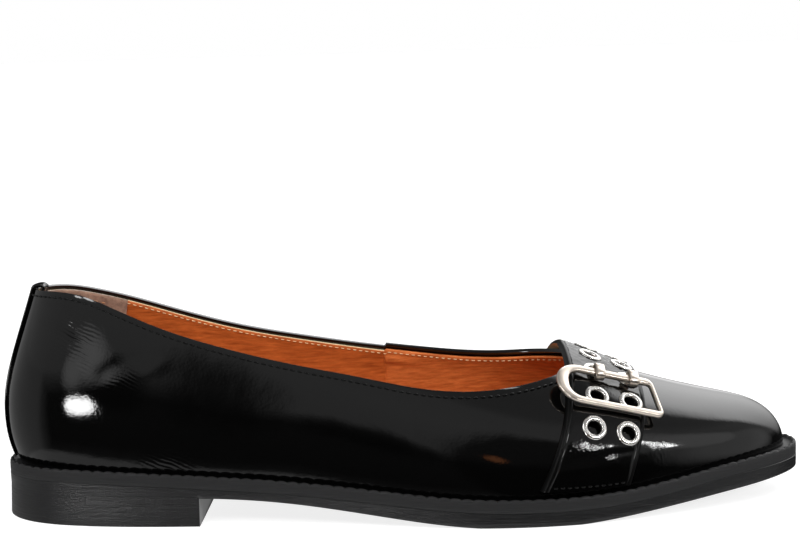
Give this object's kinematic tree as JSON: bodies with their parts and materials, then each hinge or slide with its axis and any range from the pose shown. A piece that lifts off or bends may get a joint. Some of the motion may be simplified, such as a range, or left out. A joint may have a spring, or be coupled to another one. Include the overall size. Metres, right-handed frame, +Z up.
{
  "type": "patent slip-on flat shoe",
  "caption": "Right black patent slip-on flat with an almond toe, tan leather inside, a welted rubber sole with a low block heel, and an eyelet strap with a nickel buckle.",
  "frame": {"origin": "on the floor, under the middle of the shoe's box", "axes": "+X to the toe, -Y the outer (lateral) side with the buckle, +Z up"},
  "size_m": [0.2676, 0.0856, 0.0761],
  "materials": {
    "black_patent": "black patent leather, a clear gloss coat over smooth leather",
    "tan_leather": "smooth tan lining leather, satin with a fine grain",
    "black_rubber": "moulded black rubber, matt with fine streaks",
    "satin_nickel": "satin nickel plate on cast metal",
    "bright_nickel": "bright nickel plate on pressed metal"
  },
  "bodies": {
    "root": {"upper": "black_patent", "back_strip": "black_patent", "insole": "tan_leather", "welt": "black_rubber", "outsole": "black_rubber", "heel": "black_rubber", "strap": "black_patent", "buckle_frame": "satin_nickel", "prong_rear": "satin_nickel", "prong_front": "satin_nickel", "eyelet_1_r": "bright_nickel", "eyelet_2_r": "bright_nickel", "eyelet_3_r": "bright_nickel", "eyelet_4_r": "bright_nickel", "eyelet_5_r": "bright_nickel", "eyelet_6_r": "bright_nickel", "eyelet_7_r": "bright_nickel", "eyelet_8_r": "bright_nickel", "eyelet_1_f": "bright_nickel", "eyelet_2_f": "bright_nickel", "eyelet_3_f": "bright_nickel", "eyelet_4_f": "bright_nickel", "eyelet_5_f": "bright_nickel", "eyelet_6_f": "bright_nickel", "eyelet_7_f": "bright_nickel", "eyelet_8_f": "bright_nickel"}
  },
  "joints": []
}
